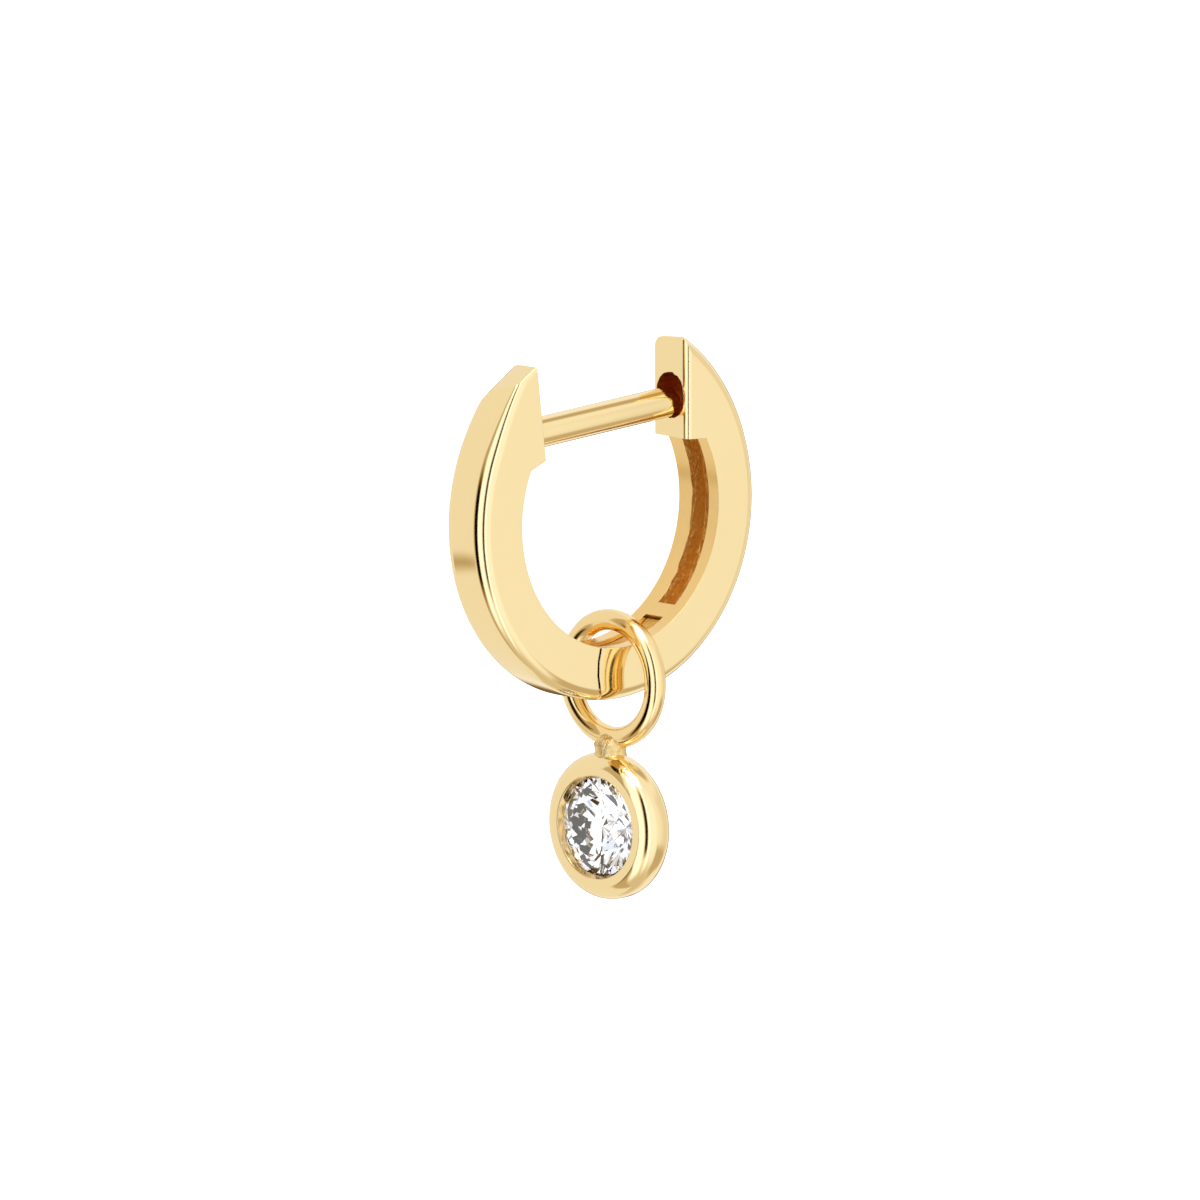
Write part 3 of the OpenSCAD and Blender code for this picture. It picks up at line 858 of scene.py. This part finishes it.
def polishing():
    """Group for the marks of polishing: fine grain in the roughness and the relief, edges rubbed round, and
    the broad unevenness of work by hand. Bump is the grain's height in metres."""
    group = bpy.data.node_groups.new("Polishing marks", "ShaderNodeTree")
    for name in ("Roughness", "Variation", "Scale", "Bump"):
        group.interface.new_socket(name, in_out="INPUT", socket_type="NodeSocketFloat")
    group.interface.new_socket("Roughness", in_out="OUTPUT", socket_type="NodeSocketFloat")
    group.interface.new_socket("Normal", in_out="OUTPUT", socket_type="NodeSocketVector")
    nodes, links = group.nodes, group.links
    given = nodes.new("NodeGroupInput")
    result = nodes.new("NodeGroupOutput")
    place = nodes.new("ShaderNodeTexCoord")
    grain = nodes.new("ShaderNodeTexNoise")
    grain.inputs["Detail"].default_value = GRAIN_DETAIL
    spread = nodes.new("ShaderNodeMath")
    spread.operation = "MULTIPLY_ADD"
    edges = nodes.new("ShaderNodeBevel")
    edges.samples = EDGE_SAMPLES
    edges.inputs["Radius"].default_value = EDGE_ROUND * MM
    swell = nodes.new("ShaderNodeTexNoise")
    swell.inputs["Scale"].default_value = SWAY_RATE
    swell.inputs["Detail"].default_value = 0
    sway = nodes.new("ShaderNodeBump")
    sway.inputs["Distance"].default_value = SWAY * MM
    relief = nodes.new("ShaderNodeBump")
    links.new(place.outputs["Object"], grain.inputs["Vector"])
    links.new(given.outputs["Scale"], grain.inputs["Scale"])
    links.new(grain.outputs["Fac"], spread.inputs[0])
    links.new(given.outputs["Variation"], spread.inputs[1])
    links.new(given.outputs["Roughness"], spread.inputs[2])
    links.new(spread.outputs["Value"], result.inputs["Roughness"])
    links.new(place.outputs["Object"], swell.inputs["Vector"])
    links.new(swell.outputs["Fac"], sway.inputs["Height"])
    links.new(edges.outputs["Normal"], sway.inputs["Normal"])
    links.new(sway.outputs["Normal"], relief.inputs["Normal"])
    links.new(given.outputs["Bump"], relief.inputs["Distance"])
    links.new(grain.outputs["Fac"], relief.inputs["Height"])
    links.new(relief.outputs["Normal"], result.inputs["Normal"])
    return group


def gold(name, colour, roughness, variation, scale, bump):
    """Solid gold with a given finish."""
    material = bpy.data.materials.new(name)
    material.use_nodes = True
    nodes, links = material.node_tree.nodes, material.node_tree.links
    shader = nodes["Principled BSDF"]
    shader.inputs["Base Color"].default_value = (*colour, 1)
    shader.inputs["Metallic"].default_value = 1
    marks = nodes.new("ShaderNodeGroup")
    marks.node_tree = POLISHING
    marks.inputs["Roughness"].default_value = roughness
    marks.inputs["Variation"].default_value = variation
    marks.inputs["Scale"].default_value = scale
    marks.inputs["Bump"].default_value = bump * MM
    links.new(marks.outputs["Roughness"], shader.inputs["Roughness"])
    links.new(marks.outputs["Normal"], shader.inputs["Normal"])
    return material


def seat_with_painted_glints():
    """Seat under the stone with painted glints: it glows in small patches of different brightness, a painted
    stand-in for the sparkle that the stone's facets show.
    """
    material = bpy.data.materials.new("seat_painted_glints")
    material.use_nodes = True
    nodes, links = material.node_tree.nodes, material.node_tree.links
    shader = nodes["Principled BSDF"]
    shader.inputs["Base Color"].default_value = SEAT_COLOUR
    shader.inputs["Metallic"].default_value = 1
    shader.inputs["Roughness"].default_value = SEAT_ROUGHNESS
    # Painted glints: the seat glows in patches, though it is no lamp
    shader.inputs["Emission Strength"].default_value = SEAT_PAINTED_GLOW
    place = nodes.new("ShaderNodeTexCoord")
    patches = nodes.new("ShaderNodeTexVoronoi")
    patches.inputs["Scale"].default_value = SEAT_GLINT_PATCHES
    grey = nodes.new("ShaderNodeSeparateColor")
    spread = nodes.new("ShaderNodeMapRange")
    spread.inputs["To Min"].default_value = SEAT_DARKEST_GLINT
    links.new(place.outputs["Object"], patches.inputs["Vector"])
    links.new(patches.outputs["Color"], grey.inputs["Color"])
    links.new(grey.outputs["Red"], spread.inputs["Value"])
    links.new(spread.outputs["Result"], shader.inputs["Emission Color"])
    return material


def cut_stone():
    """Clear, strongly refracting stone."""
    material = bpy.data.materials.new("diamond")
    material.use_nodes = True
    shader = material.node_tree.nodes["Principled BSDF"]
    shader.inputs["Base Color"].default_value = (1, 1, 1, 1)
    shader.inputs["Roughness"].default_value = 0
    shader.inputs["IOR"].default_value = STONE_IOR
    shader.inputs["Transmission Weight"].default_value = 1
    return material


# The stone's seat, which glows in patches as painted glints of the stone's facets: its patches along a metre,
# the darkest one's share of the brightest, and the strength of their painted glow
SEAT_COLOUR = (0.95, 0.95, 0.95, 1)
SEAT_ROUGHNESS = 0.05
SEAT_GLINT_PATCHES = 4500
SEAT_DARKEST_GLINT = 0.15
SEAT_PAINTED_GLOW = 0.8
# Radius to which polishing has rubbed the edges round, the samples that find it, and the layers of the grain
EDGE_ROUND = 0.035
EDGE_SAMPLES = 4
GRAIN_DETAIL = 4
# Height of the broad unevenness that polishing by hand leaves, and how often it comes in a metre
SWAY = 0.06
SWAY_RATE = 260
POLISHING = polishing()
# Each gold's grain has its number of grains in a metre as scale, and its height in millimetres as bump
polished = gold("polished_gold", (0.99, 0.8, 0.44), roughness=0.07, variation=0.04, scale=900, bump=0.0004)
# The next three golds are darker and more orange than the polished one: their colour is painted shade of the
# inner face, channel, slot, tongue and catch hole, darkest in the hole; their roughness and grain are the real
# finish
unpolished_and_shaded = gold(
    "unpolished_gold_painted_shade", (0.84, 0.52, 0.15), roughness=0.4, variation=0.3, scale=6000, bump=0.12
)
satin_and_shaded = gold("satin_gold_painted_shade", (0.93, 0.65, 0.27), roughness=0.2, variation=0.1, scale=2500, bump=0.0015)
drilled_and_shaded = gold("drilled_gold_painted_shade", (0.72, 0.27, 0.04), roughness=0.35, variation=0.3, scale=6000, bump=0.04)
# Seat with painted glints: its glowing patches stand in for the stone's sparkle
seat_painted_glints = seat_with_painted_glints()
soldered = gold("soldered_gold", (0.95, 0.7, 0.32), roughness=0.27, variation=0.12, scale=6500, bump=0.07)
# The lip's gold is darkened as painted shade of the bevel that faces in towards the stone
lip = gold("lip_gold_painted_shade", (0.8, 0.55, 0.24), roughness=0.14, variation=0.06, scale=2500, bump=0.001)
ring = gold("ring_gold", (0.98, 0.76, 0.39), roughness=0.07, variation=0.04, scale=900, bump=0.0004)
HOOP_GOLDS = [polished, unpolished_and_shaded, satin_and_shaded, drilled_and_shaded]
CHARM_GOLDS = [polished, soldered, seat_painted_glints, lip, ring]

front = joined([front_body, tongue, post])
finish_piece(front, "Front_half", WORN, HOOP_GOLDS, "front", "front_half")
back = joined([back_half_shell])
finish_piece(back, "Back_half", WORN, HOOP_GOLDS, "back", "back_half")
pin = joined([hinge_pin])
finish_piece(pin, "Hinge_pin", WORN, [polished], "front", "hinge_pin")
charm = joined([jump_ring, bezel, solder_neck])
finish_piece(charm, "Charm_setting", HUNG, CHARM_GOLDS, "charm", "charm_setting")
stone = joined([brilliant])
finish_piece(stone, "Diamond", HUNG, [cut_stone()], "charm", "diamond", facetted=True)


# Studio


# Cards of the studio: brightness, azimuth from start to end, elevation from low to high, and the widths
# over which their sides and ends fade, in degrees. Azimuth is 0 in front of the earring, where the stone
# faces, and 90 at its near side. Elevation is 0 level. A limit of ALL_ROUND is none
ALL_ROUND = 400
CARDS = {
    "dim ground": dict(
        value=0.7, start=-ALL_ROUND, end=ALL_ROUND, low=-ALL_ROUND, high=-58, side=30, ends=30
    ),
    "shade behind": dict(value=0.84, start=139, end=ALL_ROUND, low=-26, high=30, side=16, ends=16),
    "wall above behind": dict(value=0.55, start=166, end=ALL_ROUND, low=42, high=64, side=16, ends=8),
    "wall above far": dict(value=0.55, start=-ALL_ROUND, end=-158, low=42, high=64, side=16, ends=8),
    "wall below behind": dict(value=0.58, start=120, end=168, low=-60, high=-24, side=12, ends=12),
    "corner behind": dict(value=0.2, start=-160, end=-116, low=-28, high=4, side=24, ends=10),
    "tan wall": dict(value=0.9, start=-118, end=-37, low=-ALL_ROUND, high=ALL_ROUND, side=12, ends=20),
    "brown band": dict(value=0.5, start=-62, end=-44, low=-24, high=-19, side=12, ends=6),
    "dark wall": dict(value=0.56, start=-38, end=-8, low=-ALL_ROUND, high=ALL_ROUND, side=3, ends=20),
    "dark strip": dict(value=0.0, start=-30, end=0, low=-40, high=20, side=3, ends=22),
    "white strip": dict(value=1.2, start=0, end=36, low=-60, high=60, side=5, ends=20),
    "lens": dict(value=0.03, start=42, end=57, low=-34, high=44, side=4, ends=20),
    "bright strip": dict(value=1.3, start=58, end=74, low=-60, high=60, side=4, ends=30),
    "bright fade": dict(value=1.08, start=74, end=112, low=-40, high=50, side=20, ends=30),
}
# The stone gathers light in patches: how many there are across the sky, the darkest and the brightest
STONE_CELLS = 5
STONE_DARK = 0.2
STONE_BRIGHT = 1.5
# Brightness of the tent as matt surfaces get it
AROUND = (0.95, 0.95, 0.95, 1)
WHITE = (1, 1, 1, 1)
# How much faster green and blue fall than red where the metal reflects dimmer cards, as powers
WARM_GREEN = 1.37
WARM_BLUE = 2.05


def studio_world():
    """White tent. Reflections see dark and bright cards in it, the stone sees patches, the camera white."""
    world = bpy.data.worlds.new("studio")
    bpy.context.scene.world = world
    world.use_nodes = True
    nodes, links = world.node_tree.nodes, world.node_tree.links
    background = nodes["Background"]

    def work(operation, *values):
        node = nodes.new("ShaderNodeMath")
        node.operation = operation
        for socket, value in zip(node.inputs, values):
            if isinstance(value, (int, float)):
                socket.default_value = value
            else:
                links.new(value, socket)
        return node.outputs["Value"]

    place = nodes.new("ShaderNodeTexCoord")
    axes = nodes.new("ShaderNodeSeparateXYZ")
    links.new(place.outputs["Generated"], axes.inputs["Vector"])
    ahead = work("MULTIPLY", axes.outputs["X"], -1)
    nearer = work("MULTIPLY", axes.outputs["Y"], -1)
    azimuth = work("DEGREES", work("ARCTAN2", nearer, ahead))
    elevation = work("DEGREES", work("ARCSINE", axes.outputs["Z"]))

    def edge(value, limit, softness, rising):
        """Mask that rises, or falls, through the soft edge centred on a limit."""
        soft = nodes.new("ShaderNodeMapRange")
        soft.interpolation_type = "SMOOTHSTEP"
        soft.inputs["From Min"].default_value = limit - softness / 2
        soft.inputs["From Max"].default_value = limit + softness / 2
        soft.inputs["To Min"].default_value = 0 if rising else 1
        soft.inputs["To Max"].default_value = 1 if rising else 0
        links.new(value, soft.inputs["Value"])
        return soft.outputs["Result"]

    brightness = None
    for name, card in CARDS.items():
        mask = None
        for value, key, softness, rising in (
            (azimuth, "start", "side", True), (azimuth, "end", "side", False),
            (elevation, "low", "ends", True), (elevation, "high", "ends", False),
        ):
            if abs(card[key]) < ALL_ROUND:
                limit = edge(value, card[key], card[softness], rising)
                mask = work("MULTIPLY", mask, limit) if mask else limit
        mix = nodes.new("ShaderNodeMix")
        mix.inputs["A"].default_value = TENT
        mix.inputs["B"].default_value = card["value"]
        mix.label = name
        links.new(mask, mix.inputs["Factor"])
        if brightness:
            links.new(brightness, mix.inputs["A"])
        brightness = mix.outputs["Result"]
    seen = nodes.new("ShaderNodeLightPath")

    def switched(ray, otherwise, value):
        """Colour seen by one kind of ray, and by all others."""
        mix = nodes.new("ShaderNodeMix")
        mix.data_type = "RGBA"
        first, second = (socket for socket in mix.inputs if socket.type == "RGBA")
        links.new(seen.outputs[ray], mix.inputs["Factor"])
        for socket, choice in ((first, otherwise), (second, value)):
            if isinstance(choice, tuple):
                socket.default_value = choice
            else:
                links.new(choice, socket)
        return next(socket for socket in mix.outputs if socket.type == "RGBA")

    def colour(red, green, blue):
        joined_up = nodes.new("ShaderNodeCombineColor")
        for socket, value in zip(joined_up.inputs, (red, green, blue)):
            links.new(value, socket)
        return joined_up.outputs["Color"]

    warm = colour(brightness, work("POWER", brightness, WARM_GREEN), work("POWER", brightness, WARM_BLUE))
    cells = nodes.new("ShaderNodeTexVoronoi")
    cells.inputs["Scale"].default_value = STONE_CELLS
    grey = nodes.new("ShaderNodeSeparateColor")
    links.new(place.outputs["Generated"], cells.inputs["Vector"])
    links.new(cells.outputs["Color"], grey.inputs["Color"])
    fire = work("MULTIPLY_ADD", grey.outputs["Red"], STONE_BRIGHT - STONE_DARK, STONE_DARK)
    sparkle = switched("Is Transmission Ray", AROUND, colour(fire, fire, fire))
    links.new(switched("Is Camera Ray", sparkle, WHITE), background.inputs["Color"])
    reflected = nodes.new("ShaderNodeBackground")
    links.new(warm, reflected.inputs["Color"])
    both = nodes.new("ShaderNodeMixShader")
    links.new(seen.outputs["Is Glossy Ray"], both.inputs["Fac"])
    links.new(background.outputs["Background"], both.inputs[1])
    links.new(reflected.outputs["Background"], both.inputs[2])
    links.new(both.outputs["Shader"], nodes["World Output"].inputs["Surface"])


def area_light(name, azimuth, elevation, size, power):
    """Square soft light at a direction from the hoop, turned towards it."""
    data = bpy.data.lights.new(name, "AREA")
    data.shape = "SQUARE"
    data.size = size
    data.energy = power
    level = math.cos(math.radians(elevation))
    out = Vector((
        -math.cos(math.radians(azimuth)) * level,
        -math.sin(math.radians(azimuth)) * level,
        math.sin(math.radians(elevation)),
    ))
    light = bpy.data.objects.new(name, data)
    turned = out.to_track_quat("Z", "Y").to_matrix().to_4x4()
    light.matrix_world = Matrix.Translation(out * LIGHT_DISTANCE) @ turned
    bpy.context.scene.collection.objects.link(light)


def floor():
    """White floor far below, which gives the earring light from under it and shows no edge."""
    bm = bmesh.new()
    bmesh.ops.create_grid(bm, x_segments=1, y_segments=1, size=FLOOR_REACH)
    bmesh.ops.translate(bm, verts=bm.verts, vec=(0, 0, FLOOR_Z * MM))
    mesh = bpy.data.meshes.new("Floor")
    bm.to_mesh(mesh)
    bm.free()
    material = bpy.data.materials.new("pale_floor")
    material.use_nodes = True
    shader = material.node_tree.nodes["Principled BSDF"]
    shader.inputs["Base Color"].default_value = FLOOR_COLOUR
    shader.inputs["Roughness"].default_value = FLOOR_ROUGHNESS
    shader.inputs["Emission Color"].default_value = WHITE
    shader.inputs["Emission Strength"].default_value = FLOOR_GLOW
    mesh.materials.append(material)
    piece = bpy.data.objects.new("Floor", mesh)
    bpy.context.scene.collection.objects.link(piece)
    piece.visible_glossy = False


def camera():
    """Camera at the photograph's viewing angle, far off, with hardly any perspective."""
    across = math.radians(CAMERA_AZIMUTH)
    up = math.radians(CAMERA_ELEVATION)
    back = Vector((-math.sin(across) * math.cos(up), -math.cos(across) * math.cos(up), math.sin(up)))
    right = Vector((math.cos(across), -math.sin(across), 0))
    upward = back.cross(right)
    hoop_centre = WORN @ ORIGIN
    target = hoop_centre + right * AIM_RIGHT + upward * AIM_UP
    data = bpy.data.cameras.new("Camera")
    data.lens = LENS
    data.sensor_width = SENSOR
    data.clip_start = SEEN_FROM
    data.clip_end = SEEN_TO
    viewer = bpy.data.objects.new("Camera", data)
    distance = VIEW_W * LENS / SENSOR
    turned = Matrix((right, upward, back)).transposed().to_4x4()
    viewer.matrix_world = Matrix.Translation((target + back * distance) * MM) @ turned
    bpy.context.scene.collection.objects.link(viewer)
    bpy.context.scene.camera = viewer


studio_world()
area_light("Top_light", azimuth=60, elevation=72, size=0.3, power=0.9)
area_light("Left_light", azimuth=20, elevation=52, size=0.16, power=0.22)
floor()
camera()
bpy.context.scene.view_settings.view_transform = "Standard"
